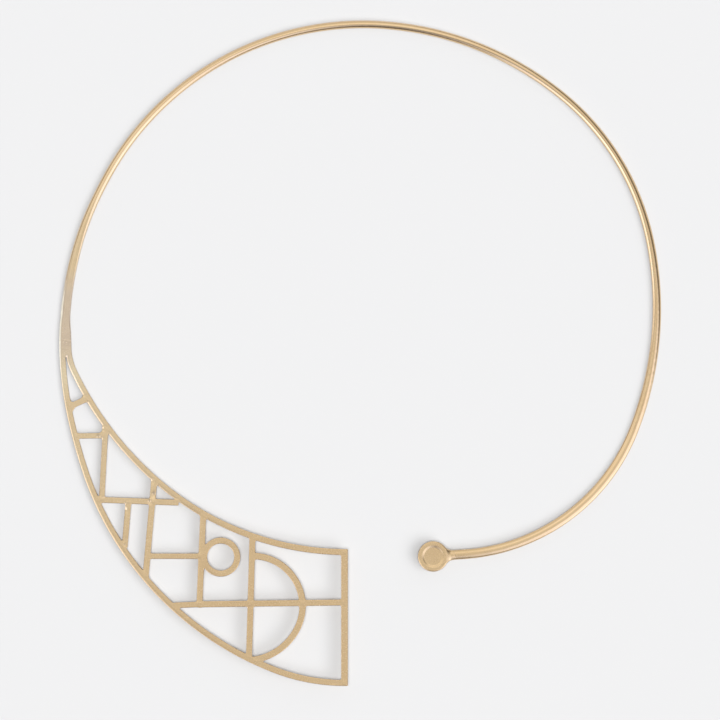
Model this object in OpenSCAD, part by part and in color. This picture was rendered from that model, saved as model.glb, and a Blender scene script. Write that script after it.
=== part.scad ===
// Rigid open neck ring of gold-plated brass, lying on a surface.
// A round wire runs round the neck. One end is forged flat and carries a curved openwork panel.
// The other end carries a small round cup. Units are millimetres, +Z is up, and the origin is
// under the middle of the outline, on the surface that the ring lies on.

/* [Neck wire] */
// Diameter of the round wire at the back of the neck
wire_d = 1.8; // [1.6:0.05:2.2]
// Width of the forged wire where it meets the cup
cup_end_w = 2.25; // [2:0.05:2.6]
// Thickness of the forged wire where it meets the cup
cup_end_t = 1.35; // [1.1:0.05:1.7]
// Length of wire, from the panel, that is forged flat
tip_forge = 38; // [25:1:60]
// Width of the forged wire past the solder
tip_forge_w = 2.3; // [2.1:0.05:2.6]
// Length of wire over which the solder widens it to the panel's two rails
tip_solder = 6; // [4:0.5:8]
// How far the forged stretch lies outside the wire's line
tip_aside = 0.15; // [0:0.05:0.2]
// Distance from the cup at which the forging begins
cup_forge = 115; // [80:1:140]
// Distance from the cup at which the wire has its full forged width
cup_forge_full = 45; // [30:1:60]
// Distance from the cup at which the wire leaves the surface
cup_rise_length = 60; // [40:1:70]
// Height of the cup's underside above the surface
cup_lift = 1.6; // [0.8:0.1:3]

/* [Openwork panel] */
// Thickness of the panel's strips
panel_t = 1.2; // [1:0.05:1.6]
// Width of the two curved rails
rail_w = 1.4; // [1.2:0.05:1.6]
// Width of the square end bar
end_bar_w = 1.55; // [1.3:0.05:1.8]
// Height of the panel's right end above the surface
panel_rise = 3; // [1:0.1:5]
// Middle radius of the small ring
ring_r = 3.8; // [3.5:0.05:4]
// Width of the small ring's band
ring_band = 1.4; // [1.2:0.05:1.6]
// Width of the half ring's band
half_ring_band = 1.5; // [1.3:0.05:1.7]
// Radius of the round solder pads in the two narrow cells
pad_r = 1.2; // [0.9:0.05:1.4]

/* [End cup] */
// Outer diameter of the cup
cup_d = 7; // [6:0.1:7.6]
// Height of the cup
cup_h = 1.8; // [1.5:0.1:2.4]
// Diameter of the sunk flat floor
cup_floor_d = 4.6; // [4:0.1:5]
// Depth of the floor below the top of the rim
cup_depth = 0.25; // [0.15:0.05:0.5]
// Width of the solder neck where it leaves the cup
cup_neck_w = 3; // [2.6:0.1:3.4]
// Distance from the middle of the cup to its seam with the wire
cup_seam = 4.4; // [4.2:0.1:5]

/* [Seams] */
// Gap at each solder seam
seam_gap = 0.05; // [0.02:0.01:0.1]

/* [Hidden] */
gold = [0.84, 0.69, 0.5];

// Middle of the seam between wire and panel. All else is placed from here.
tip = [-67.8, 3];

// Arcs of the wire's middle line, from the panel clockwise round the neck to the cup.
// Columns: radius, sweep in degrees
wire_arcs = [[78, 30.5], [67, 63], [73, 36], [58, 39], [77, 33], [45, 64.5]];
// Straight stretch from the last arc to the middle of the cup
wire_straight = 7.4;

// Arcs of the rails' middle lines, from the wire anticlockwise to the end bar.
// Columns: radius, sweep in degrees
outer_arcs = [[82.5, 11.9], [118, 6.9], [73.7, 50.3], [44.7, 20.9]];
inner_arcs = [[41.5, 3.1], [13, 22.2], [77.1, 23.5], [66.8, 40.8]];

// Straight strips between the rails, measured from the seam. The first joins the rails at the tip.
// Columns: right and down of the start, right and down of the end, width
strips = [
    [0, -1, 0.3, 3.8, 1.6],
    [0.9, 15.4, 5.5, 13.3, 1.35],
    [1.9, 22.1, 9.4, 22, 1.25],
    [9.3, 20, 8.4, 37.2, 1.3],
    [6.6, 36.7, 26.1, 37.4, 1.35],
    [14.6, 36.9, 13.7, 47.7, 1.35],
    [20.5, 32.3, 18.5, 54.6, 1.4],
    [19, 49.7, 31.6, 49.7, 1.25],
    [31.8, 39.7, 30.9, 60.9, 1.4],
    [25.1, 61, 31.4, 60.75, 1.3],
    [30.6, 60.75, 64.5, 60.3, 1.4],
    [43.1, 45.5, 42.3, 73.2, 1.4],
];
// Middle of the small ring, right and down of the seam
ring_at = [35.8, 49.9];
// The half ring starts on its post, right and down of the seam, and turns clockwise to the outer rail.
// Columns: radius, sweep in degrees
half_ring_at = [43.1, 49.65];
half_ring_arcs = [[11.5, 119], [13.5, 51]];
// Solder pads in the corners of the narrow cells, right and down of the seam
pads = [[1.9, 15], [4.8, 13.4], [9, 21]];

tip_w = 2 * rail_w;
// Length over which the forged stretch comes back to the wire's line
tip_aside_end = 14;
// Squareness of the wire's section at its two ends. 2 is an ellipse
tip_power = 4;
cup_power = 2.4;
wire_rings = 96;
wire_sides = 16;
ring_facets = 96;
bow_steps = 16;
arc_step = 1.2;
// Room on every side of a shape that cuts another
margin = 5;

// State of a path: place and heading. A turn of 1 is to the left, -1 to the right.
function arc_walk(at, r, sweep, turn) =
    let (h = at[2] + turn * sweep)
    [at[0] + turn * r * (sin(h) - sin(at[2])), at[1] - turn * r * (cos(h) - cos(at[2])), h];
function arc_start(arcs, turn, at, i) =
    i == 0 ? at
    : let (before = arc_start(arcs, turn, at, i - 1)) arc_walk(before, arcs[i - 1][0], arcs[i - 1][1], turn);
function arc_length(arc) = arc[0] * arc[1] * PI / 180;
function total_length(arcs, n) = n == 0 ? 0 : total_length(arcs, n - 1) + arc_length(arcs[n - 1]);
function forward(at, d) = [at[0] + d * cos(at[2]), at[1] + d * sin(at[2]), at[2]];
function aside(at, d) = [at[0] - d * sin(at[2]), at[1] + d * cos(at[2])];
function from_tip(right, down) = [tip[0] + right, tip[1] - down];

// Smooth step from 0 to 1
function ease(u) = let (v = min(1, max(0, u))) v * v * (3 - 2 * v);

// Rails. They start side by side at the seam and end at the end bar.
outer_start = [tip[0] - rail_w / 2, tip[1] - seam_gap, -90];
inner_start = [tip[0] + rail_w / 2, tip[1] - seam_gap, -90];
outer_end = arc_start(outer_arcs, 1, outer_start, len(outer_arcs));
inner_end = arc_start(inner_arcs, 1, inner_start, len(inner_arcs));

// The panel is bowed about a line along Y. Its right end is level, and its left edge is on the surface.
crest_x = outer_end[0];
left_x = tip[0] - rail_w;
bow_r = (pow(crest_x - left_x, 2) + pow(panel_rise, 2)) / (2 * panel_rise);
function bow_slope(x) = asin((crest_x - x) / bow_r);
function bow_under(x) = panel_rise - bow_r * (1 - cos(bow_slope(x)));
// Point of the bowed sheet at a height above its underside
function bow_point(x, up) = let (a = bow_slope(x)) [x - up * sin(a), bow_under(x) + up * cos(a)];

// State of the wire's middle line at a length s from the seam
wire_start = [tip[0], tip[1], 90];
wire_to_cup = total_length(wire_arcs, len(wire_arcs)) + wire_straight;
function wire_state(s, at = wire_start, i = 0) =
    i == len(wire_arcs) ? forward(at, s)
    : let (r = wire_arcs[i][0], long = arc_length(wire_arcs[i]))
      s <= long ? arc_walk(at, r, s / r * 180 / PI, -1)
      : wire_state(s - long, arc_walk(at, r, wire_arcs[i][1], -1), i + 1);
cup_at = wire_state(wire_to_cup);

// The wire's section: round at the back, forged flat at both ends
function at_tip(s) = 1 - ease(s / tip_forge);
function at_cup(s) = ease((cup_forge - (wire_to_cup - s)) / (cup_forge - cup_forge_full));
function at_solder(s) = 1 - ease(s / tip_solder);
function wire_w(s) = wire_d + (tip_forge_w - wire_d) * at_tip(s) + (tip_w - tip_forge_w) * at_solder(s)
    + (cup_end_w - wire_d) * at_cup(s);
function wire_t(s) = wire_d + (panel_t - wire_d) * at_tip(s) + (cup_end_t - wire_d) * at_cup(s);
function wire_power(s) = 2 + (tip_power - 2) * at_tip(s) + (cup_power - 2) * at_cup(s);

// The section rolls to meet the bowed panel. Its lowest point stays on the surface, up to the rise to the cup.
function wire_roll(s) = bow_slope(tip[0]) * at_tip(s);
function half_height(s) =
    let (p = wire_power(s), q = p / (p - 1), roll = wire_roll(s))
    pow(pow(wire_w(s) / 2 * abs(sin(roll)), q) + pow(wire_t(s) / 2 * cos(roll), q), 1 / q);
function wire_shift(s) = tip_aside * ease(s / tip_solder) * (1 - ease((s - tip_forge + tip_aside_end) / tip_aside_end));
tip_step = bow_under(tip[0]) + panel_t / 2 - half_height(0);
cup_end_rise = cup_lift + cup_h / 2 - cup_end_t / 2;
function wire_z(s) = half_height(s) + tip_step * at_tip(s)
    + cup_end_rise * ease(1 - (wire_to_cup - s) / cup_rise_length);

function rounded(v, power) = sign(v) * pow(abs(v), 2 / power);
function wire_ring(s) =
    let (at = wire_state(s), p = wire_power(s), roll = wire_roll(s), z = wire_z(s))
    [for (k = [0 : wire_sides - 1])
        let (a = 360 * (k + 0.5) / wire_sides,
             u = wire_w(s) / 2 * rounded(cos(a), p),
             v = wire_t(s) / 2 * rounded(sin(a), p),
             place = aside(at, wire_shift(s) + u * cos(roll) + v * sin(roll)))
        [place[0], place[1], z + v * cos(roll) - u * sin(roll)]];

module neck_wire() {
    last = wire_to_cup - cup_seam;
    points = [for (i = [0 : wire_rings]) each wire_ring(last * i / wire_rings)];
    sides = [for (i = [0 : wire_rings - 1], k = [0 : wire_sides - 1])
        let (a = i * wire_sides + k, b = i * wire_sides + (k + 1) % wire_sides)
        each [[a, b, a + wire_sides], [b, b + wire_sides, a + wire_sides]]];
    first_cap = [for (k = [wire_sides - 1 : -1 : 0]) k];
    last_cap = [for (k = [0 : wire_sides - 1]) wire_rings * wire_sides + k];
    color(gold)
        polyhedron(points, concat(sides, [first_cap], [last_cap]), convexity = 4);
}

// Line beside a path of arcs, at a distance to its left
function beside(start, arcs, turn, d) =
    [for (i = [0 : len(arcs) - 1])
        let (at = arc_start(arcs, turn, start, i),
             n = ceil(arc_length(arcs[i]) / arc_step),
             last = i == len(arcs) - 1 ? n : n - 1)
        for (k = [0 : last]) aside(arc_walk(at, arcs[i][0], arcs[i][1] * k / n, turn), d)];
function backwards(v) = [for (k = [len(v) - 1 : -1 : 0]) v[k]];

// Outline of the whole panel, from the rails' outer sides to the end bar
module panel_outline() {
    low = beside(outer_start, outer_arcs, 1, -rail_w / 2);
    high = beside(inner_start, inner_arcs, 1, rail_w / 2);
    half_bar = [end_bar_w / 2, 0];
    polygon(concat(low, [low[len(low) - 1] + half_bar, high[len(high) - 1] + half_bar], backwards(high)));
}

// Space between the rails, from the tip to the end bar
module between_rails() {
    low = beside(outer_start, outer_arcs, 1, rail_w / 2);
    high = beside(inner_start, inner_arcs, 1, -rail_w / 2);
    half_bar = [-end_bar_w / 2, 0];
    polygon(concat(
        [for (p = low) if (p[0] < outer_end[0] - end_bar_w / 2) p],
        [low[len(low) - 1] + half_bar, high[len(high) - 1] + half_bar],
        backwards([for (p = high) if (p[0] < inner_end[0] - end_bar_w / 2) p])));
}

module strip(a, b, width) {
    side = [a[1] - b[1], b[0] - a[0]] / norm(b - a) * width / 2;
    polygon([a - side, b - side, b + side, a + side]);
}

module small_ring() {
    at = from_tip(ring_at[0], ring_at[1]);
    translate(at)
        difference() {
            circle(r = ring_r + ring_band / 2, $fn = ring_facets);
            circle(r = ring_r - ring_band / 2, $fn = ring_facets);
        }
}

module half_ring() {
    at = from_tip(half_ring_at[0], half_ring_at[1]);
    start = [at[0], at[1], 0];
    polygon(concat(
        beside(start, half_ring_arcs, -1, half_ring_band / 2),
        backwards(beside(start, half_ring_arcs, -1, -half_ring_band / 2))));
}

// The open cells are what the strips, rings and pads leave of the space between the rails
module cells() {
    difference() {
        between_rails();
        for (s = strips)
            strip(from_tip(s[0], s[1]), from_tip(s[2], s[3]), s[4]);
        small_ring();
        half_ring();
        for (p = pads)
            translate(from_tip(p[0], p[1]))
                circle(r = pad_r, $fn = ring_facets);
    }
}

// Bowed sheet that the panel is cut from, in flat steps along its length
module bowed_sheet() {
    from_x = left_x - margin;
    to_x = crest_x + margin;
    xs = [for (i = [0 : bow_steps]) from_x + (to_x - from_x) * i / bow_steps];
    translate([0, tip[1] + margin, 0])
        rotate([90, 0, 0])
            linear_extrude(tip[1] - outer_end[1] + 2 * margin)
                polygon(concat(
                    [for (x = xs) bow_point(x, 0)],
                    [for (x = backwards(xs)) bow_point(x, panel_t)]));
}

module openwork_panel() {
    color(gold)
        intersection() {
            bowed_sheet();
            translate([0, 0, -margin])
                linear_extrude(panel_rise + panel_t + 2 * margin)
                    difference() {
                        panel_outline();
                        cells();
                    }
        }
}

// Half section of the cup, right of its axis: flat foot, round rim, sunk floor
module cup_section() {
    rim_r = (cup_d - cup_floor_d) / 4;
    rim_mid = cup_d / 2 - rim_r;
    rim_low = cup_h - rim_r;
    foot = 0.4;
    polygon([[0, 0], [cup_d / 2 - foot, 0], [cup_d / 2, foot], [cup_d / 2, rim_low], [0, rim_low]]);
    square([rim_mid, cup_h - cup_depth]);
    translate([rim_mid, rim_low])
        circle(r = rim_r, $fn = ring_facets);
}

module end_cup() {
    neck_from = cup_d / 2 - 0.8;
    neck_to = cup_seam - seam_gap;
    color(gold)
        translate([cup_at[0], cup_at[1], cup_lift])
            rotate([0, 0, cup_at[2] + 180])
                union() {
                    rotate_extrude($fn = ring_facets)
                        cup_section();
                    translate([0, 0, cup_h / 2 - cup_end_t / 2])
                        linear_extrude(cup_end_t)
                            polygon([[neck_from, -cup_neck_w / 2], [neck_to, -cup_end_w / 2],
                                [neck_to, cup_end_w / 2], [neck_from, cup_neck_w / 2]]);
                }
}

neck_wire();
openwork_panel();
end_cup();
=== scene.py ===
import math

import bpy
import numpy as np
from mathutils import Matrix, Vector, noise
from mathutils.geometry import delaunay_2d_cdt


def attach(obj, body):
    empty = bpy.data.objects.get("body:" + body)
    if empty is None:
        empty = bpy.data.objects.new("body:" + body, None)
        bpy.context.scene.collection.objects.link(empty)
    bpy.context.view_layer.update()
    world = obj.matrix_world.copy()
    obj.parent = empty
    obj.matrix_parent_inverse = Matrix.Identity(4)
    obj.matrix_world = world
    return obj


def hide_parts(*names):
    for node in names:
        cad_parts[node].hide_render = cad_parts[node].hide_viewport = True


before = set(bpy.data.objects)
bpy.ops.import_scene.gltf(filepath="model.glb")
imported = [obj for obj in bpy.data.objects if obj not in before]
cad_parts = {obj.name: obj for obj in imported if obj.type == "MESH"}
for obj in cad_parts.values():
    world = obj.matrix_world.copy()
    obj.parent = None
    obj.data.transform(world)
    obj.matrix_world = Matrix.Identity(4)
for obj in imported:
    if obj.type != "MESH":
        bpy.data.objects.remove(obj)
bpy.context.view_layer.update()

# Lengths are millimetres up to the meshes, which are metres. They repeat the part's own construction.
MM = 0.001

# Photograph: how large a pixel is on the surface, and where the origin is in it
PHOTO_SIZE = 720
PIXEL = 0.23
ORIGIN_PX = (359.5, 352.5)

# Neck wire
WIRE_D = 1.8
CUP_END_W = 2.25
CUP_END_T = 1.35
TIP_FORGE = 38.0
TIP_SOLDER = 6.0
TIP_FORGE_W = 2.3
TIP_ASIDE = 0.15
TIP_ASIDE_END = 14.0
CUP_FORGE = 115.0
CUP_FORGE_FULL = 45.0
CUP_RISE_LENGTH = 60.0
CUP_LIFT = 1.6
TIP_POWER = 4.0
CUP_POWER = 2.4
TIP = np.array([-67.8, 3.0])
WIRE_ARCS = [(78, 30.5), (67, 63), (73, 36), (58, 39), (77, 33), (45, 64.5)]
WIRE_STRAIGHT = 7.4

# Openwork panel
PANEL_T = 1.2
RAIL_W = 1.4
END_BAR_W = 1.55
PANEL_RISE = 3.0
RING_R = 3.8
RING_BAND = 1.4
HALF_RING_BAND = 1.5
SEAM_GAP = 0.05
OUTER_ARCS = [(82.5, 11.9), (118, 6.9), (73.7, 50.3), (44.7, 20.9)]
INNER_ARCS = [(41.5, 3.1), (13, 22.2), (77.1, 23.5), (66.8, 40.8)]
# Right and down of the seam at the start, right and down of it at the end, width
STRIPS = [
    (0, 0.5, 0.3, 3.8, 1.6),
    (0.9, 15.4, 5.5, 13.3, 1.35),
    (1.9, 22.1, 9.4, 22, 1.25),
    (9.3, 20, 8.4, 37.2, 1.3),
    (6.6, 36.7, 26.1, 37.4, 1.35),
    (14.6, 36.9, 13.7, 47.7, 1.35),
    (20.5, 32.3, 18.5, 54.6, 1.4),
    (19, 49.7, 31.6, 49.7, 1.25),
    (31.8, 39.7, 30.9, 60.9, 1.4),
    (25.1, 61, 31.4, 60.75, 1.3),
    (30.6, 60.75, 64.5, 60.3, 1.4),
    (43.1, 45.5, 42.3, 73.2, 1.4),
]
RING_AT = (35.8, 49.9)
HALF_RING_AT = (43.1, 49.65)
HALF_RING_ARCS = [(11.5, 119), (13.5, 51)]
# Unit direction straight to the right of the post that the half ring starts on
POST_RIGHT = (0.9996, -0.0289)

# End cup
CUP_D = 7.0
CUP_H = 1.8
CUP_FLOOR_D = 4.6
CUP_NECK_W = 3.0
CUP_SEAM = 4.4
CUP_FOOT = 0.4

# Detail that only the looks have
WIRE_RINGS = 1300
WIRE_SIDES = 60
WIRE_OVERLAP = 1.0
WIRE_THINNER = 0.1
# Hammer dents: their size, how many go round, and their depth where the wire is drawn and, more, where forged
HAMMER_SIZE = 1.6
HAMMER_ROUND = 3
DENT_DRAWN = 0.004
DENT_FORGED = 0.014
PANEL_GRID = 0.1
PANEL_GAP = 0.2
PANEL_GAP_UNDER = 0.5
STRIP_EDGE = 0.13
# Edges filed down near the wire: width, slope, how far along they reach, and the azimuth that they face
FILED_W = 0.65
FILED_SLOPE = 0.55
FILED_REACH = 45.0
FILED_FACES = 203
FILED_FROM = 0.45
FILED_FADE = 0.4
STRIP_EDGE_UNDER = 0.15
STRIP_CORNER = 0.15
END_CORNER = 0.2
# Tongue of the panel under the wire's face
TIP_OVERLAP = 0.5
TIP_TONGUE_W = 1.8
TIP_TONGUE_ROOT = 1.0
TIP_TONGUE_CORNER = 0.1
TIP_DIVE = 0.4
TIP_LEVEL = 1.6
TIP_OUTER_POWER = 2.2
TIP_INNER_POWER = 9.0
LOOP_STEP = 0.24
LOOP_TURN = 20
SOLDER_FILLET = 0.35
# Corners with more or less solder in them, right and down of the seam, with fillet radius and reach
SOLDER_CORNERS = [
    (0.2, 4.5, 0.15, 2.4),
    (0.5, 13.6, 1.2, 1.2),
    (3.6, 13.2, 1.0, 1.0),
    (2.0, 15.9, 1.3, 1.2),
    (8.0, 20.8, 1.2, 1.0),
]
SOLDER_RISE = 0.015
SOLDER_BLEND = 0.6
PANEL_WAVE = 0.006
PANEL_WAVE_SIZE = 1.6
# Sloped faces in the solder: right and down of the seam, radius, slope, the azimuth that it looks to
SOLDER_FACES = [
    (13.9, 38.9, 0.55, 0.28, 215),
    (7.9, 22.4, 0.5, 0.22, 200),
    (20.1, 32.4, 0.5, 0.2, 200),
    (19.6, 37.2, 0.45, 0.25, 210),
    (20.2, 35.6, 0.6, 0.2, 350),
]
# Pits in the solder, right and down of the seam, with radius and depth
PITS = [(13.0, 44.6, 0.16, 0.12), (13.7, 47.2, 0.2, 0.1), (14.4, 46.1, 0.12, 0.08), (8.9, 36.2, 0.14, 0.08)]


def ease(u):
    v = np.clip(u, 0, 1)
    return v * v * (3 - 2 * v)


class Arcs:
    """Arcs end to end. turn is 1 to the left and -1 to the right, and headings are in degrees."""

    def __init__(self, start, heading, arcs, turn, straight=0.0):
        self.turn = turn
        self.parts = []
        place = np.array(start, float)
        s = 0.0
        for r, sweep in arcs:
            h = math.radians(heading)
            centre = place + turn * r * np.array([-math.sin(h), math.cos(h)])
            self.parts.append((s, r, heading, sweep, centre))
            s += r * math.radians(sweep)
            heading += turn * sweep
            h = math.radians(heading)
            place = centre + turn * r * np.array([math.sin(h), -math.cos(h)])
        self.end = place
        self.end_heading = heading
        self.curved = s
        self.length = s + straight

    def at(self, s):
        """Places and headings, in radians, at lengths s."""
        s = np.asarray(s, float)
        place = np.zeros((len(s), 2))
        heading = np.zeros(len(s))
        for s0, r, h0, _, centre in self.parts:
            on = s >= s0
            h = math.radians(h0) + self.turn * (s[on] - s0) / r
            heading[on] = h
            place[on] = centre + self.turn * r * np.stack([np.sin(h), -np.cos(h)], 1)
        past = s > self.curved
        h = math.radians(self.end_heading)
        heading[past] = h
        place[past] = self.end + (s[past] - self.curved)[:, None] * np.array([math.cos(h), math.sin(h)])
        return place, heading

    def offset(self, p):
        """How far points p are from the line, and how far to its left."""
        best = np.full(len(p), np.inf)
        left = np.zeros(len(p))
        for _, r, h0, sweep, centre in self.parts:
            d = p - centre
            rho = np.hypot(d[:, 0], d[:, 1])
            first = h0 - 90 * self.turn
            along = (self.turn * (np.degrees(np.arctan2(d[:, 1], d[:, 0])) - first) + 90) % 360 - 90
            ends = [centre + r * np.array([math.cos(a), math.sin(a)])
                    for a in (math.radians(first), math.radians(first + self.turn * sweep))]
            to_end = np.minimum(*[np.hypot(*(p - e).T) for e in ends])
            dist = np.where((along >= 0) & (along <= sweep), np.abs(rho - r), to_end)
            nearer = dist < best
            best = np.where(nearer, dist, best)
            left = np.where(nearer, self.turn * (r - rho), left)
        return best, left


def from_tip(right, down):
    return np.array([TIP[0] + right, TIP[1] - down])


def box_distance(p, a, b, width, corner):
    """Distance of points p to a straight strip from a to b with its corners rounded."""
    a, b = np.asarray(a, float), np.asarray(b, float)
    long = np.linalg.norm(b - a)
    along = (b - a) / long
    side = np.array([-along[1], along[0]])
    d = p - (a + b) / 2
    q = np.stack([np.abs(d @ along) - long / 2, np.abs(d @ side) - width / 2], 1) + corner
    outside = np.hypot(*np.maximum(q, 0).T)
    return outside + np.minimum(q.max(axis=1), 0) - corner


wire_line = Arcs(TIP, 90, WIRE_ARCS, -1, WIRE_STRAIGHT)
outer_rail = Arcs((TIP[0] - RAIL_W / 2, TIP[1] - SEAM_GAP), -90, OUTER_ARCS, 1)
inner_rail = Arcs((TIP[0] + RAIL_W / 2, TIP[1] - SEAM_GAP), -90, INNER_ARCS, 1)
half_ring = Arcs(from_tip(*HALF_RING_AT), 0, HALF_RING_ARCS, -1)
CREST_X = outer_rail.end[0]
LEFT_X = TIP[0] - RAIL_W
CUP_AT = wire_line.at([wire_line.length])[0][0]
BOW_R = ((CREST_X - LEFT_X) ** 2 + PANEL_RISE ** 2) / (2 * PANEL_RISE)


def bow_slope(x):
    return np.arcsin((CREST_X - x) / BOW_R)


def bow_under(x):
    return PANEL_RISE - BOW_R * (1 - np.cos(bow_slope(x)))


def mesh_object(name, verts, faces, slot, *nodes, normals=None):
    """New piece from millimetres. It rides on the only body and stands for CAD nodes."""
    mesh = bpy.data.meshes.new(name)
    mesh.from_pydata([Vector(v) * MM for v in verts], [], faces)
    piece = bpy.data.objects.new(name, mesh)
    bpy.context.scene.collection.objects.link(piece)
    mesh.polygons.foreach_set("use_smooth", [True] * len(mesh.polygons))
    if normals is not None:
        mesh.normals_split_custom_set_from_vertices([Vector(n).normalized() for n in normals])
    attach(piece, "root")
    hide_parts(*nodes)
    return piece


def wavy(p, scale, seed):
    """Smooth noise from -1 to 1 at flat points p, with waves of about scale millimetres."""
    shift = Vector((seed * 17.3, seed * 5.1, seed * 9.7))
    return np.array([noise.noise(Vector((x, y, 0)) / scale + shift) for x, y in p])


# Neck wire

def wire_laws(s):
    """Width, thickness, squareness, roll, height and outward shift of the wire's section at lengths s.

    The last two values are how far it is forged for the panel and for the cup, from 0 to 1.
    """
    at_tip = 1 - ease(s / TIP_FORGE)
    to_cup = wire_line.length - s
    at_cup = ease((CUP_FORGE - to_cup) / (CUP_FORGE - CUP_FORGE_FULL))
    at_solder = 1 - ease(s / TIP_SOLDER)
    w = WIRE_D + (TIP_FORGE_W - WIRE_D) * at_tip + (2 * RAIL_W - TIP_FORGE_W) * at_solder
    w += (CUP_END_W - WIRE_D) * at_cup
    t = WIRE_D + (PANEL_T - WIRE_D) * at_tip + (CUP_END_T - WIRE_D) * at_cup
    power = 2 + (TIP_POWER - 2) * at_tip + (CUP_POWER - 2) * at_cup
    roll = bow_slope(TIP[0]) * at_tip
    # How high the rolled section stands over its middle
    q = power / (power - 1)
    half = ((w / 2 * np.abs(np.sin(roll))) ** q + (t / 2 * np.cos(roll)) ** q) ** (1 / q)
    tip_step = bow_under(TIP[0]) + PANEL_T / 2 - half[0]
    rise = CUP_LIFT + CUP_H / 2 - CUP_END_T / 2
    z = half + tip_step * at_tip + rise * ease(1 - to_cup / CUP_RISE_LENGTH)
    shift = TIP_ASIDE * ease(s / TIP_SOLDER) * (1 - ease((s - TIP_FORGE + TIP_ASIDE_END) / TIP_ASIDE_END))
    return w, t, power, roll, z, shift, at_tip, at_cup


def section(w, t, power, outer_power, sides):
    """Points round a squared-off ellipse, evenly spaced along its outline. Its outer half may be rounder."""
    fine = 360
    a = np.linspace(0, 2 * np.pi, fine + 1)
    power = np.where(np.cos(a) > 0, outer_power, power)
    u = w / 2 * np.sign(np.cos(a)) * np.abs(np.cos(a)) ** (2 / power)
    v = t / 2 * np.sign(np.sin(a)) * np.abs(np.sin(a)) ** (2 / power)
    run = np.concatenate([[0], np.cumsum(np.hypot(np.diff(u), np.diff(v)))])
    want = np.linspace(0, run[-1], sides + 1)[:-1]
    return np.interp(want, run, u), np.interp(want, run, v), run[-1]


def neck_wire():
    s = np.linspace(-WIRE_OVERLAP, wire_line.length - CUP_SEAM + WIRE_OVERLAP, WIRE_RINGS)
    w, t, power, roll, z, shift, at_tip, at_cup = wire_laws(s)
    place, heading = wire_line.at(np.maximum(s, 0))
    # Past the seam with the panel it goes straight on
    place[:, 1] += np.minimum(s, 0)
    # Past its two seams the wire gets thinner, to end in the panel and in the cup
    past = ease(np.maximum(-s, s - wire_line.length + CUP_SEAM) / WIRE_OVERLAP)
    w, t = w - WIRE_THINNER * past, t - WIRE_THINNER * past
    left = np.stack([-np.sin(heading), np.cos(heading)], 1)
    place = place + shift[:, None] * left
    outer_power = power + (TIP_OUTER_POWER - TIP_POWER) * at_tip * ease(s / TIP_SOLDER)
    power = power + (TIP_INNER_POWER - TIP_POWER) * at_tip
    verts = []
    uv_rows = []
    for i in range(WIRE_RINGS):
        u, v, round_length = section(w[i], t[i], power[i], outer_power[i], WIRE_SIDES)
        forged = max(at_tip[i], at_cup[i])
        # Hammered faces lie a little below the drawn surface
        size = 1 + HAMMER_SIZE * forged
        spots = [Vector((s[i] / size, HAMMER_ROUND * a / WIRE_SIDES, 4.2)) for a in range(WIRE_SIDES)]
        dent = (DENT_DRAWN + DENT_FORGED * forged) * (np.array([noise.noise(spot) for spot in spots]) - 1)
        reach = np.hypot(u, v)
        u = u * (1 + dent / reach)
        v = v * (1 + dent / reach)
        aside = u * math.cos(roll[i]) + v * math.sin(roll[i])
        up = v * math.cos(roll[i]) - u * math.sin(roll[i])
        ring = np.column_stack([place[i] + aside[:, None] * left[i], z[i] + up])
        verts.append(ring)
        uv_rows.append((s[i], round_length))
    verts = np.vstack(verts)
    faces = []
    for i in range(WIRE_RINGS - 1):
        a = i * WIRE_SIDES
        for k in range(WIRE_SIDES):
            n = (k + 1) % WIRE_SIDES
            faces.append((a + k, a + n, a + n + WIRE_SIDES, a + k + WIRE_SIDES))
    centre = len(verts)
    verts = np.vstack([verts, verts[:WIRE_SIDES].mean(axis=0), verts[-WIRE_SIDES:].mean(axis=0)])
    last = (WIRE_RINGS - 1) * WIRE_SIDES
    for k in range(WIRE_SIDES):
        n = (k + 1) % WIRE_SIDES
        faces.append((n, k, centre))
        faces.append((last + k, last + n, centre + 1))
    piece = mesh_object("wire_polished", verts, faces, "polished_gold", "neck_wire")
    # Lengthwise and round the wire, in metres, for the drawn grain
    uv = piece.data.uv_layers.new(name="along")
    body = (WIRE_RINGS - 1) * WIRE_SIDES
    coords = np.zeros((len(piece.data.loops), 2))
    for i in range(WIRE_RINGS - 1):
        s0, r0 = uv_rows[i]
        s1, r1 = uv_rows[i + 1]
        k = np.arange(WIRE_SIDES)
        a, b = k / WIRE_SIDES, (k + 1) / WIRE_SIDES
        quad = np.stack([
            np.column_stack([np.full(WIRE_SIDES, s0), a * r0]),
            np.column_stack([np.full(WIRE_SIDES, s0), b * r0]),
            np.column_stack([np.full(WIRE_SIDES, s1), b * r1]),
            np.column_stack([np.full(WIRE_SIDES, s1), a * r1]),
        ], 1)
        coords[i * WIRE_SIDES * 4:(i + 1) * WIRE_SIDES * 4] = quad.reshape(-1, 2)
    coords[body * 4:] = 0
    uv.data.foreach_set("uv", (coords * MM).ravel())
    return piece


# Plates: solids with a flat outline of joined shapes, rounded edges and shaped faces

def joined(parts, solder):
    """One distance for many parts, with the corners between them filled to the radius solder."""
    lack = np.maximum(solder - parts, 0)
    return np.maximum(solder, parts.min(axis=0)) - np.sqrt((lack ** 2).sum(axis=0))


def trimmed(a, b, corner):
    """The distance of what two shapes share, its corners rounded."""
    outside = np.hypot(np.maximum(corner + a, 0), np.maximum(corner + b, 0))
    return np.minimum(-corner, np.maximum(a, b)) + outside


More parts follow.
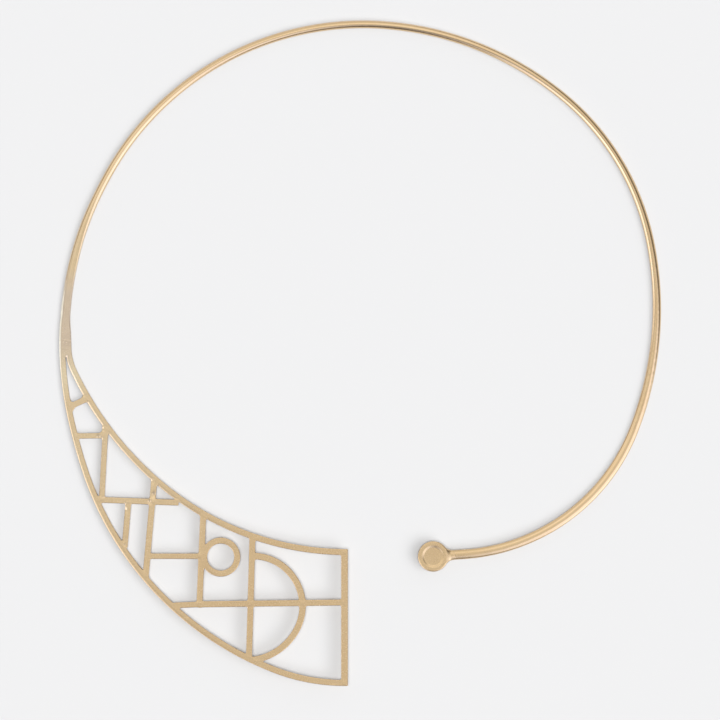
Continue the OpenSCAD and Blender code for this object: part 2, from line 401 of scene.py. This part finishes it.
def contours(values, field, low, step):
    """Closed loops where field is 0, from its values on a grid that starts at low."""
    inside = values < 0

    def crossing(j, i, axis):
        j2, i2 = (j, i + 1) if axis == 0 else (j + 1, i)
        f = values[j, i] / (values[j, i] - values[j2, i2])
        if axis == 0:
            return low[0] + (i + f) * step, low[1] + j * step
        return low[0] + i * step, low[1] + (j + f) * step

    # From one crossed edge of a cell to the next, with the inside on the left
    follow = {}
    mixed = inside[:-1, :-1].astype(int) + inside[:-1, 1:] + inside[1:, :-1] + inside[1:, 1:]
    for j, i in zip(*np.nonzero((mixed > 0) & (mixed < 4))):
        corners = [inside[j, i], inside[j, i + 1], inside[j + 1, i + 1], inside[j + 1, i]]
        edges = [(j, i, 0), (j, i + 1, 1), (j + 1, i, 0), (j, i, 1)]
        outs = [edges[k] for k in range(4) if corners[k] and not corners[(k + 1) % 4]]
        ins = [edges[k] for k in range(4) if not corners[k] and corners[(k + 1) % 4]]
        for a, b in zip(outs, ins if len(ins) == 1 else ins[::-1]):
            follow[a] = b
    loops = []
    while follow:
        first, here = follow.popitem()
        chain = [first]
        while here != first:
            chain.append(here)
            here = follow.pop(here)
        # Shorter chains are specks
        if len(chain) > 6:
            loops.append(spread(field, np.array([crossing(*e) for e in chain])))
    return loops


def slopes(field, p):
    """How steeply field rises along x and y at points p."""
    tiny = 1e-4
    return np.stack([(field(p + step) - field(p - step)) / (2 * tiny) for step in ((tiny, 0), (0, tiny))], 1)


def onto(field, p):
    """Moves points onto the line where field is 0, and gives its outward direction there."""
    # A few Newton steps, each kept short
    for _ in range(3):
        slope = slopes(field, p)
        steep = np.maximum((slope ** 2).sum(axis=1), 0.2)
        p = p - np.clip(field(p) / steep, -0.1, 0.1)[:, None] * slope
    return p, slope / np.linalg.norm(slope, axis=1)[:, None]


def spread(field, loop):
    """The loop with its points put on the line, closer together in bends."""
    p, way = onto(field, loop)
    nxt, way_nxt = np.roll(p, -1, axis=0), np.roll(way, -1, axis=0)
    across = way[:, 0] * way_nxt[:, 1] - way[:, 1] * way_nxt[:, 0]
    turn = np.abs(np.arctan2(across, (way * way_nxt).sum(axis=1)))
    load = np.linalg.norm(nxt - p, axis=1) / LOOP_STEP + turn / math.radians(LOOP_TURN)
    run = np.concatenate([[0], np.cumsum(load)])
    want = np.linspace(0, run[-1], max(int(run[-1]), 8) + 1)[:-1]
    closed = np.vstack([p, p[:1]])
    return onto(field, np.column_stack([np.interp(want, run, closed[:, k]) for k in (0, 1)]))[0]


class Plate:
    """A plate's grid of distances, and its vertices and faces."""

    def __init__(self, shape, low, high, step):
        self.shape, self.low, self.high, self.step = shape, low, high, step
        nx, ny = [int(math.ceil((last - first) / step)) + 1 for first, last in zip(low, high)]
        xs, ys = low[0] + step * np.arange(nx), low[1] + step * np.arange(ny)
        self.grid = np.stack(np.meshgrid(xs, ys), -1).reshape(-1, 2)
        self.values = shape(self.grid)
        self.size = (ny, nx)
        self.rise_y, self.rise_x = np.gradient(self.values.reshape(self.size), step)
        self.outline = self.loops(lambda p: np.zeros(len(p)))
        self.verts, self.normals, self.faces = [], [], []

    def facing(self, p, azimuth):
        """How far the outline by points p faces an azimuth, from -1 to 1."""
        j, i = [np.clip(((p[:, k] - self.low[k]) / self.step), 0, self.size[1 - k] - 1.001) for k in (1, 0)]
        j0, i0 = j.astype(int), i.astype(int)
        fj, fi = j - j0, i - i0
        a = math.radians(azimuth)
        total = 0
        for rise, share in ((self.rise_x, math.cos(a)), (self.rise_y, math.sin(a))):
            low = rise[j0, i0] * (1 - fi) + rise[j0, i0 + 1] * fi
            high = rise[j0 + 1, i0] * (1 - fi) + rise[j0 + 1, i0 + 1] * fi
            total = total + share * (low * (1 - fj) + high * fj)
        return total

    def loops(self, inset):
        values = (self.values + inset(self.grid)).reshape(self.size)
        return contours(values, lambda p: self.shape(p) + inset(p), self.low, self.step)

    def side(self, height, radius, angles, gap, up):
        """Adds the top or the underside: rings of points down its rounded edge, and points gap apart."""
        coords, lines = [], []
        fence_count = sum(len(loop) for loop in self.outline)
        for angle in [0] + angles:
            c = 1 - math.cos(math.radians(angle))
            rings = self.outline if angle == 0 else self.loops(lambda p: np.full(len(p), radius * c))
            for ring in rings:
                base = len(coords)
                coords.extend(ring)
                lines.extend((base + k, base + (k + 1) % len(ring)) for k in range(len(ring)))
        rows = np.arange(self.low[1], self.high[1], gap * math.sqrt(3) / 2)
        cols = np.arange(self.low[0], self.high[0], gap)
        dots = np.array([(x + (gap / 2 if j % 2 else 0), y) for j, y in enumerate(rows) for x in cols])
        dots = dots[self.shape(dots) < -radius - 0.4 * gap]
        coords.extend(dots)
        places, out_lines, faces, points_from, lines_from, _ = delaunay_2d_cdt(
            [Vector(c) for c in coords], lines, [], 0, 1e-6)
        fences = {
            frozenset(line) for line, source in zip(out_lines, lines_from)
            if any(k < fence_count for k in source)}
        flat = np.array([tuple(v) for v in places])
        aside = np.clip(1 + self.shape(flat) / radius, 0, 1)
        rise = np.sqrt(1 - aside ** 2)
        sign = 1 if up else -1
        out = slopes(self.shape, flat)
        out /= np.maximum(np.linalg.norm(out, axis=1), 0.2)[:, None]
        flat_part = aside[:, None] * out - sign * rise[:, None] * slopes(height, flat)
        normals = np.column_stack([flat_part, sign * rise])
        base = len(self.verts)
        self.verts.extend(np.column_stack([flat, height(flat) - sign * radius * (1 - rise)]))
        self.normals.extend(normals)
        for face in inside_faces(faces, fences):
            self.faces.append(tuple(base + k for k in (face if up else face[::-1])))
        # Where each point of the outline went, for the wall
        at = {k: base + i for i, source in enumerate(points_from) for k in source if k < fence_count}
        return [at[k] for k in range(fence_count)]

    def walls(self, top_rim, under_rim):
        first = 0
        for loop in self.outline:
            for k in range(len(loop)):
                a, b = first + k, first + (k + 1) % len(loop)
                self.faces.append((under_rim[a], under_rim[b], top_rim[b], top_rim[a]))
            first += len(loop)


def inside_faces(faces, fences):
    """The faces an odd number of fences in from the outside. A fence is a pair of vertices."""
    beside = {}
    for i, face in enumerate(faces):
        for k in range(len(face)):
            beside.setdefault(frozenset((face[k], face[k - 1])), []).append(i)
    depth = {}
    todo = [(sides[0], line in fences) for line, sides in beside.items() if len(sides) == 1]
    while todo:
        i, inner = todo.pop()
        if i in depth:
            continue
        depth[i] = inner
        face = faces[i]
        for k in range(len(face)):
            line = frozenset((face[k], face[k - 1]))
            todo.extend((j, inner != (line in fences)) for j in beside[line] if j not in depth)
    return [tuple(faces[i]) for i, inner in depth.items() if inner]


def panel_parts(p):
    """Distance of points p to each strip of the panel, and to the line round all of them."""
    to_outer, left_of_outer = outer_rail.offset(p)
    to_inner, left_of_inner = inner_rail.offset(p)
    between = np.maximum(-left_of_outer, left_of_inner)
    rows = [to_outer - RAIL_W / 2, to_inner - RAIL_W / 2]
    for right, down, right_end, down_end, width in STRIPS:
        strip = box_distance(p, from_tip(right, down), from_tip(right_end, down_end), width, STRIP_CORNER)
        rows.append(np.maximum(strip, between))
    ring = np.hypot(*(p - from_tip(*RING_AT)).T)
    rows.append(np.abs(ring - RING_R) - RING_BAND / 2)
    right_of_post = (p - from_tip(*HALF_RING_AT)) @ np.array(POST_RIGHT)
    rows.append(np.maximum(half_ring.offset(p)[0] - HALF_RING_BAND / 2, -right_of_post))
    low = outer_rail.end - np.array([0, RAIL_W / 2])
    high = inner_rail.end + np.array([0, RAIL_W / 2])
    rows.append(box_distance(p, (low[0], low[1]), (low[0], high[1]), END_BAR_W, STRIP_CORNER))
    silhouette = trimmed(between - RAIL_W / 2, p[:, 0] - low[0] - END_BAR_W / 2, END_CORNER)
    return np.array(rows), silhouette


def panel_shape(p):
    """Distance of points p to the panel's outline, inside it less than 0."""
    parts, silhouette = panel_parts(p)
    solder = np.full(len(p), SOLDER_FILLET)
    for right, down, radius, reach in SOLDER_CORNERS:
        away = np.hypot(*(p - from_tip(right, down)).T)
        solder += (radius - SOLDER_FILLET) * np.exp(-(away / reach) ** 2)
    lattice = np.maximum(np.maximum(joined(parts, solder), silhouette), p[:, 1] - TIP[1])
    tongue = box_distance(
        p, TIP + [0, TIP_OVERLAP], TIP - [0, TIP_TONGUE_ROOT], TIP_TONGUE_W, TIP_TONGUE_CORNER)
    return np.minimum(lattice, tongue)


def panel_top(p):
    """Top face: bowed, with solder standing up at the joints, sloped marks and pits."""
    parts, _ = panel_parts(p)
    depth = np.sort(-parts, axis=0)[::-1]
    low = SOLDER_RISE * (1 - ease(depth[1] / SOLDER_BLEND)) + PANEL_WAVE * (1 - wavy(p, PANEL_WAVE_SIZE, 2))
    # Level with the wire's face at the seam
    z = bow_under(p[:, 0]) + PANEL_T - low * ease((TIP[1] - p[:, 1]) / TIP_LEVEL)
    for right, down, radius, slope, looks in SOLDER_FACES:
        d = p - from_tip(right, down)
        a = math.radians(looks)
        toward = d @ np.array([math.cos(a), math.sin(a)])
        z -= slope * (toward + radius) * np.exp(-(np.hypot(*d.T) / radius) ** 2)
    for right, down, radius, deep in PITS:
        away = np.hypot(*(p - from_tip(right, down)).T)
        z -= deep * np.exp(-(away / radius) ** 2)
    # The end that overlaps the wire dives under the wire's face
    return z - TIP_DIVE * np.clip(p[:, 1] - TIP[1], 0, None) ** 2


def openwork_panel():
    plate = Plate(panel_shape, (LEFT_X - 1, outer_rail.end[1] - 2), (CREST_X + 2, TIP[1] + 3), PANEL_GRID)

    def top_face(p):
        """Towards the wire, the edges that face away from the ring are filed down in a shallow curve."""
        near_tip = np.clip(1 - (p[:, 0] - TIP[0]) / FILED_REACH, 0, 1)
        share = near_tip * ease((plate.facing(p, FILED_FACES) - FILED_FROM) / FILED_FADE)
        within = np.clip(1 + panel_shape(p) / FILED_W, 0, 1)
        return panel_top(p) - share * FILED_SLOPE / 2 * FILED_W * within ** 2

    top = plate.side(top_face, STRIP_EDGE, [28, 58, 90], PANEL_GAP, True)
    under = plate.side(lambda p: bow_under(p[:, 0]), STRIP_EDGE_UNDER, [45, 90], PANEL_GAP_UNDER, False)
    plate.walls(top, under)
    return mesh_object(
        "panel_lattice", plate.verts, plate.faces, "satin_gold", "openwork_panel", normals=plate.normals)


# End cup, in its own frame: its axis at the origin, the wire along +X

CUP_R = CUP_D / 2
CUP_MIDDLE = CUP_H / 2
CUP_EDGE = 0.3
CUP_STEP = 0.65
CUP_RELIEF = 0.13
CUP_WAVE = 0.005
CUP_WAVE_SIZE = 0.9
CUP_BLEND = 0.7
CUP_FILLET = 0.45
CUP_GRID = 0.08
CUP_GAP = 0.1
CUP_GAP_UNDER = 0.3
# The neck past the seam: its length, how far it stands over the wire, and how far it then drops
COLLAR = 1.3
COLLAR_OVER = 0.03
COLLAR_UNDER = 0.09
COLLAR_CORNER = 0.3
COLLAR_BLEND = 0.6
NECK_FROM = 1.5
NECK_INSIDE = 0.6
# Just short of 1, where the neck's section would be upright
NECK_STEEPEST = 0.995


def collar_over(x):
    """How far the neck stands over the wire's surface. It runs out into the wire past the seam."""
    return COLLAR_OVER - COLLAR_UNDER * ease((x - CUP_SEAM + COLLAR_BLEND) / (COLLAR + COLLAR_BLEND))


def neck_half(x):
    taper = (CUP_NECK_W - CUP_END_W) / 2 * ease((CUP_SEAM - x) / (CUP_SEAM - CUP_R + NECK_INSIDE))
    return CUP_END_W / 2 + collar_over(x) + taper


def cup_shape(p):
    disc = np.hypot(*p.T) - CUP_R
    end = trimmed(np.abs(p[:, 1]) - neck_half(p[:, 0]), p[:, 0] - CUP_SEAM - COLLAR, COLLAR_CORNER)
    neck = np.maximum(end, NECK_FROM - p[:, 0])
    return joined(np.array([disc, neck]), CUP_FILLET)


def rounding(d, radius):
    """How far a rounded edge has dropped at distances d from the outline, inside it less than 0."""
    u = np.clip(1 + d / radius, 0, 1)
    return radius * (1 - np.sqrt(1 - u ** 2))


def into_neck(p):
    """0 on the disc and 1 on the neck."""
    return ease((p[:, 0] - CUP_R + CUP_BLEND) / (2 * CUP_BLEND))


def neck_reach(p):
    """How far the neck's face is from the middle plane: the wire's own section, a little larger."""
    half = neck_half(p[:, 0])
    across = np.clip(1 + cup_shape(p) / half, 0, NECK_STEEPEST)
    return (CUP_END_T / 2 + collar_over(p[:, 0])) * (1 - across ** CUP_POWER) ** (1 / CUP_POWER)


def cup_top(p):
    """The face, without the rounding of its outline: a low rim, a sunk floor, and the neck."""
    r = np.hypot(*p.T)
    own = rounding(cup_shape(p), CUP_EDGE)
    face = CUP_H - CUP_RELIEF * ease(1 - (r - CUP_FLOOR_D / 2 + CUP_STEP / 2) / CUP_STEP)
    share = into_neck(p)
    z = (1 - share) * (face - own) + share * (CUP_MIDDLE + neck_reach(p)) + own
    return z - CUP_WAVE * (1 - wavy(p, CUP_WAVE_SIZE, 5))


def cup_under(p):
    own = rounding(cup_shape(p), CUP_FOOT)
    share = into_neck(p)
    return (1 - share) * own + share * (CUP_MIDDLE - neck_reach(p)) - own


def end_cup():
    reach = CUP_R + 1
    plate = Plate(cup_shape, (-reach, -reach), (CUP_SEAM + COLLAR + 1, reach), CUP_GRID)
    top = plate.side(cup_top, CUP_EDGE, [15, 30, 45, 60, 75, 90], CUP_GAP, True)
    under = plate.side(cup_under, CUP_FOOT, [22, 45, 67, 90], CUP_GAP_UNDER, False)
    plate.walls(top, under)
    verts, normals = np.array(plate.verts), np.array(plate.normals)
    place, heading = wire_line.at([wire_line.length])
    back = heading[0] + math.pi
    turn = np.array([[math.cos(back), -math.sin(back)], [math.sin(back), math.cos(back)]])
    verts = np.column_stack([verts[:, :2] @ turn.T + place[0], verts[:, 2] + CUP_LIFT])
    normals = np.column_stack([normals[:, :2] @ turn.T, normals[:, 2]])
    return mesh_object("cup_button", verts, plate.faces, "satin_gold", "end_cup", normals=normals)


# Materials

# Roughness of the satin faces, from their smoothest to their roughest spots
SATIN = (0.25, 0.28)
GOLD_WIRE = (0.80, 0.585, 0.345, 1)
GOLD_WIRE_WARM = (0.78, 0.56, 0.32, 1)
GOLD_PANEL = (0.765, 0.56, 0.32, 1)
GOLD_PANEL_WARM = (0.745, 0.538, 0.302, 1)
# Paler tone near the seam: partly the metal's own, partly painted sheen for the brighter reflection there
GOLD_PALE_AND_SHEEN = (0.85, 0.71, 0.48, 1)
GOLD_PALE_AND_SHEEN_WARM = (0.83, 0.685, 0.455, 1)
# Pale base colour of the painted highlight on the outermost edges, standing in for the reflection of the
# light
GOLD_PAINTED_HIGHLIGHT = (0.95, 0.87, 0.68, 1)
GOLD_TIP = (0.71, 0.575, 0.425, 1)
FLOOR_TONE = (0.5, 0.5, 0.504, 1)
# Tones round the seam of wire and panel, painted sheen and painted highlight among them. Each pair is where a
# tone is full and where it is gone, in metres
TONE_FROM_SEAM = 5
PALE_AND_SHEEN_NEAR = (0.004, 0.014)
PALE_AND_SHEEN_AROUND = (0.02, 0.06)
PALE_AND_SHEEN_AROUND_SHARE = 0.4
PINK_NEAR = (0.006, 0.012)
SATIN_NEAR_TIP = (0.003, 0.03)
SATIN_NEAR_CUP = (0.008, 0.03)
PAINTED_HIGHLIGHT_ROUND = (0.00055, 0.00085)
PAINTED_HIGHLIGHT_ALONG = (0.009, 0.014)
# The same for the painted highlight on the outermost edge, as millimetres to the left of the seam
PAINTED_HIGHLIGHT_LEFT = (1.15, 0.9)
# Height of the finest relief, in metres, which each bump takes a part of
GRAIN = 1e-5


class Nodes:
    """A material's node tree, with short calls to add to it."""

    def __init__(self, name):
        self.material = bpy.data.materials.new(name)
        self.material.use_nodes = True
        self.tree = self.material.node_tree
        self.shader = self.tree.nodes["Principled BSDF"]

    def add(self, kind, inputs=None, **settings):
        node = self.tree.nodes.new(kind)
        for key, value in settings.items():
            setattr(node, key, value)
        for key, value in (inputs or {}).items():
            if isinstance(value, bpy.types.NodeSocket):
                self.tree.links.new(value, node.inputs[key])
            else:
                node.inputs[key].default_value = value
        return node

    def noise(self, vector, scale, detail=3.0, roughness=0.5):
        node = self.add("ShaderNodeTexNoise", {
            "Vector": vector, "Scale": scale, "Detail": detail, "Roughness": roughness})
        return node.outputs[0]

    def stretched(self, vector, scale, turn=0.0, kind="POINT"):
        """Other coordinates. POINT multiplies by scale, then turns. TEXTURE turns, then divides by it."""
        return self.add("ShaderNodeMapping", {
            "Vector": vector, "Scale": scale, "Rotation": (0, 0, turn)}, vector_type=kind).outputs[0]

    def ramp(self, value, low, high, first=0.0, last=1.0):
        return self.add("ShaderNodeMapRange", {
            "Value": value, "From Min": low, "From Max": high, "To Min": first, "To Max": last}).outputs[0]

    def mix(self, factor, a, b):
        node = self.add("ShaderNodeMix", data_type="RGBA")
        for key, value in (("Factor", factor), ("A", a), ("B", b)):
            kind = "VALUE" if key == "Factor" else "RGBA"
            socket = next(i for i in node.inputs if i.name == key and i.type == kind)
            if isinstance(value, bpy.types.NodeSocket):
                self.tree.links.new(value, socket)
            else:
                socket.default_value = value
        return next(o for o in node.outputs if o.type == "RGBA")

    def bump(self, height, distance, strength, normal=None):
        inputs = {"Height": height, "Distance": distance, "Strength": strength}
        if normal is not None:
            inputs["Normal"] = normal
        return self.add("ShaderNodeBump", inputs).outputs[0]

    def set(self, **inputs):
        for key, value in inputs.items():
            socket = self.shader.inputs[key.replace("_", " ")]
            if isinstance(value, bpy.types.NodeSocket):
                self.tree.links.new(value, socket)
            else:
                socket.default_value = value


def near(m, place, centre, full, gone):
    """1 within full metres of a place on the ring, given in millimetres, and 0 from gone metres on."""
    away = m.add("ShaderNodeVectorMath", {0: place, 1: tuple(Vector(centre) * MM)}, operation="DISTANCE")
    return m.ramp(away.outputs[1], full, gone, 1.0, 0.0)


def gold_tone(m, place, plain, warm):
    """Mottled plating, pinker where the wire is forged into the panel, and paler there and over the panel's
    left part: partly its own tone, partly painted sheen. A painted highlight on the outermost edge.
    """
    cloud = m.ramp(m.noise(place, 140.0, 3.0), 0.35, 0.65)
    below = (TIP[0], TIP[1] - TONE_FROM_SEAM, PANEL_T)
    above = (TIP[0], TIP[1] + TONE_FROM_SEAM, PANEL_T)
    # Paler near the seam and over the panel's left part: partly own tone, partly painted sheen
    solder = near(m, place, below, *PALE_AND_SHEEN_NEAR)
    around = m.ramp(near(m, place, below, *PALE_AND_SHEEN_AROUND), 0, 1, 0, PALE_AND_SHEEN_AROUND_SHARE)
    pale = m.add("ShaderNodeMath", {0: solder, 1: around}, operation="MAXIMUM").outputs[0]
    pink = near(m, place, above, *PINK_NEAR)
    tone = m.mix(pale, m.mix(cloud, plain, warm), m.mix(cloud, GOLD_PALE_AND_SHEEN, GOLD_PALE_AND_SHEEN_WARM))
    # The outermost edge, beside the seam, gets a painted highlight: a pale base colour in place of the
    # light's reflection
    across = m.add("ShaderNodeSeparateXYZ", {"Vector": place}).outputs[0]
    painted_highlight = m.ramp(across, *[(TIP[0] - left) * MM for left in PAINTED_HIGHLIGHT_LEFT], 1.0, 0.0)
    return m.mix(painted_highlight, m.mix(pink, tone, GOLD_TIP), GOLD_PAINTED_HIGHLIGHT)


def polished_gold():
    """Drawn wire, polished: fine grain along it, and satin where it was forged and soldered."""
    m = Nodes("polished_gold")
    along = m.add("ShaderNodeUVMap", uv_map="along").outputs[0]
    place = m.add("ShaderNodeTexCoord").outputs["Object"]
    grain = m.noise(m.stretched(along, (400, 14000, 1)), 1.0, 2.0)
    fine = m.noise(place, 2200.0, 4.0, 0.6)
    forged = m.add("ShaderNodeMath", {
        0: near(m, place, (TIP[0], TIP[1], PANEL_T), *SATIN_NEAR_TIP),
        1: near(m, place, (CUP_AT[0], CUP_AT[1], CUP_LIFT), *SATIN_NEAR_CUP)}, operation="MAXIMUM").outputs[0]
    plain = m.mix(forged, GOLD_WIRE, GOLD_PANEL)
    warm = m.mix(forged, GOLD_WIRE_WARM, GOLD_PANEL_WARM)
    rough = m.ramp(fine, 0.3, 0.7, 0.16, 0.2)
    satin = m.ramp(fine, 0.3, 0.7, *SATIN)
    drawn = m.ramp(forged, 0, 1, 1, 0)
    rough = m.add("ShaderNodeMath", {0: drawn, 1: rough}, operation="MULTIPLY").outputs[0]
    rough = m.add("ShaderNodeMath", {0: forged, 1: satin, 2: rough}, operation="MULTIPLY_ADD").outputs[0]
    bump = m.bump(fine, GRAIN, 0.06)
    bump = m.bump(grain, GRAIN, 0.12, bump)
    # The outer edge near the panel gets a painted highlight: a pale base colour in place of the light's
    # reflection. Round the wire, 0 is its outermost line
    parts = m.add("ShaderNodeSeparateXYZ", {"Vector": along}).outputs
    edge = m.ramp(parts[1], *PAINTED_HIGHLIGHT_ROUND, 1.0, 0.0)
    reach = m.ramp(parts[0], *PAINTED_HIGHLIGHT_ALONG, 1.0, 0.0)
    painted_highlight = m.add("ShaderNodeMath", {0: edge, 1: reach}, operation="MULTIPLY").outputs[0]
    tone = m.mix(painted_highlight, gold_tone(m, place, plain, warm), GOLD_PAINTED_HIGHLIGHT)
    m.set(Base_Color=tone, Metallic=1.0, Roughness=rough, Normal=bump)
    return m.material


def satin_gold():
    """Flat strips, satin: fine rubbing in several directions, mottled tone, dull solder."""
    m = Nodes("satin_gold")
    place = m.add("ShaderNodeTexCoord").outputs["Object"]
    fine = m.noise(place, 2200.0, 4.0, 0.6)
    bump = m.bump(fine, GRAIN, 0.04)
    for turn, across in ((0.3, 7200), (1.4, 8100), (2.4, 7600)):
        rub = m.noise(m.stretched(place, (1 / 300, 1 / across, 1 / 300), turn, "TEXTURE"), 1.0, 2.0)
        bump = m.bump(m.ramp(rub, 0.5, 0.8), GRAIN, 0.016, bump)
    rough = m.ramp(fine, 0.3, 0.7, *SATIN)
    tone = gold_tone(m, place, GOLD_PANEL, GOLD_PANEL_WARM)
    m.set(Base_Color=tone, Metallic=1.0, Roughness=rough, Normal=bump)
    return m.material


def surface():
    """Plain pale surface that the ring lies on."""
    half = 3.0
    mesh = bpy.data.meshes.new("surface")
    corners = [(-half, -half, 0), (half, -half, 0), (half, half, 0), (-half, half, 0)]
    mesh.from_pydata(corners, [], [(0, 1, 2, 3)])
    floor = bpy.data.objects.new("surface", mesh)
    bpy.context.scene.collection.objects.link(floor)
    m = Nodes("pale_surface")
    m.set(Base_Color=FLOOR_TONE, Roughness=0.9, Specular_IOR_Level=0.2)
    mesh.materials.append(m.material)


# Light and camera

PLAIN = (1.0, 1.0, 1.0, 1)
COOL = (0.95, 1.0, 1.25, 1)
STUDIO_EVEN = 0.02
STUDIO_BASE = 0.21
# Pale and dark parts of the studio: azimuth, elevation, full inside, gone outside, amount
STUDIO_WALLS = [
    (20, 87, 6, 34, 0.63),
    (108, 40, 22, 52, 0.6),
    (70, 50, 8, 26, 0.2),
    (28, 0, 8, 26, 0.35),
    (182, 40, 16, 42, 0.4),
    (272, 62, 10, 34, -0.3),
]
STUDIO_LAMPS = [
    (314, 48, 14, 36, 1.25),
    (326, 12, 12, 32, 1.0),
    (210, 12, 18, 42, 1.4),
    (230, 46, 8, 26, 0.9),
]
# Suns: name, azimuth, elevation, level, size
SUNS = [
    ("key_right", 334, 55, 0.57, 46),
    ("top", 235, 88.5, 1.04, 13),
    ("back_right", 40, 40, 0.1, 72),
    ("back_left", 124, 36, 0.05, 64),
]


def sun(name, azimuth, elevation, level, size):
    """Soft light from far away, which lights the surface and isn't mirrored in the metal.

    Azimuth 0 is +X and 90 is +Y. level is what it adds to a level surface, and size its width in degrees.
    """
    a, e = math.radians(azimuth), math.radians(elevation)
    data = bpy.data.lights.new(name, "SUN")
    data.energy = math.pi * level / math.sin(e)
    data.angle = math.radians(size)
    lamp = bpy.data.objects.new(name, data)
    toward = Vector((math.cos(a) * math.cos(e), math.sin(a) * math.cos(e), math.sin(e)))
    lamp.rotation_euler = toward.to_track_quat("Z", "Y").to_euler()
    lamp.visible_glossy = False
    bpy.context.scene.collection.objects.link(lamp)


def studio():
    """Room round the ring. The metal mirrors its pale and dark parts, and the surface gets its even mean."""
    world = bpy.data.worlds.new("studio")
    bpy.context.scene.world = world
    world.use_nodes = True
    world.cycles.sampling_method = "NONE"
    tree = world.node_tree

    def add(kind, *links, **settings):
        node = tree.nodes.new(kind)
        for key, value in settings.items():
            setattr(node, key, value)
        for socket, value in zip(node.inputs, links):
            if isinstance(value, bpy.types.NodeSocket):
                tree.links.new(value, socket)
            elif value is not None:
                socket.default_value = value
        return node.outputs

    way = add("ShaderNodeTexCoord")["Generated"]

    def light(base, parts, colour):
        total = base
        for azimuth, elevation, full, gone, amount in parts:
            a, e = math.radians(azimuth), math.radians(elevation)
            toward = (math.cos(a) * math.cos(e), math.sin(a) * math.cos(e), math.sin(e))
            facing = add("ShaderNodeVectorMath", way, toward, operation="DOT_PRODUCT")["Value"]
            limits = [math.cos(math.radians(gone)), math.cos(math.radians(full))]
            step = add("ShaderNodeMapRange", facing, *limits, 0.0, amount, interpolation_type="SMOOTHSTEP")[0]
            total = add("ShaderNodeMath", total, step, operation="ADD")[0]
        return add("ShaderNodeBackground", colour, total)[0]

    walls = light(STUDIO_BASE, STUDIO_WALLS, PLAIN)
    lamps = light(0.0, STUDIO_LAMPS, COOL)
    mirrored = add("ShaderNodeAddShader", walls, lamps)[0]
    even = add("ShaderNodeBackground", PLAIN, STUDIO_EVEN)[0]
    bounced = add("ShaderNodeLightPath")["Diffuse Depth"]
    both = add("ShaderNodeMixShader", bounced, mirrored, even)[0]
    tree.links.new(both, tree.nodes["World Output"].inputs["Surface"])


def camera():
    """Straight down on the middle of the photograph's frame, from far enough to be nearly flat."""
    height = 2.5
    middle = (PHOTO_SIZE - 1) / 2
    data = bpy.data.cameras.new("camera")
    data.sensor_width = 36.0
    data.lens = data.sensor_width * (height - WIRE_D / 2 * MM) / (PHOTO_SIZE * PIXEL * MM)
    data.clip_end = 50.0
    eye = bpy.data.objects.new("camera", data)
    eye.location = ((middle - ORIGIN_PX[0]) * PIXEL * MM, (ORIGIN_PX[1] - middle) * PIXEL * MM, height)
    bpy.context.scene.collection.objects.link(eye)
    bpy.context.scene.camera = eye


camera()
surface()
studio()
for row in SUNS:
    sun(*row)
wire = neck_wire()
wire.data.materials.append(polished_gold())
satin = satin_gold()
for piece in (openwork_panel(), end_cup()):
    piece.data.materials.append(satin)
bpy.context.scene.view_settings.view_transform = "Standard"
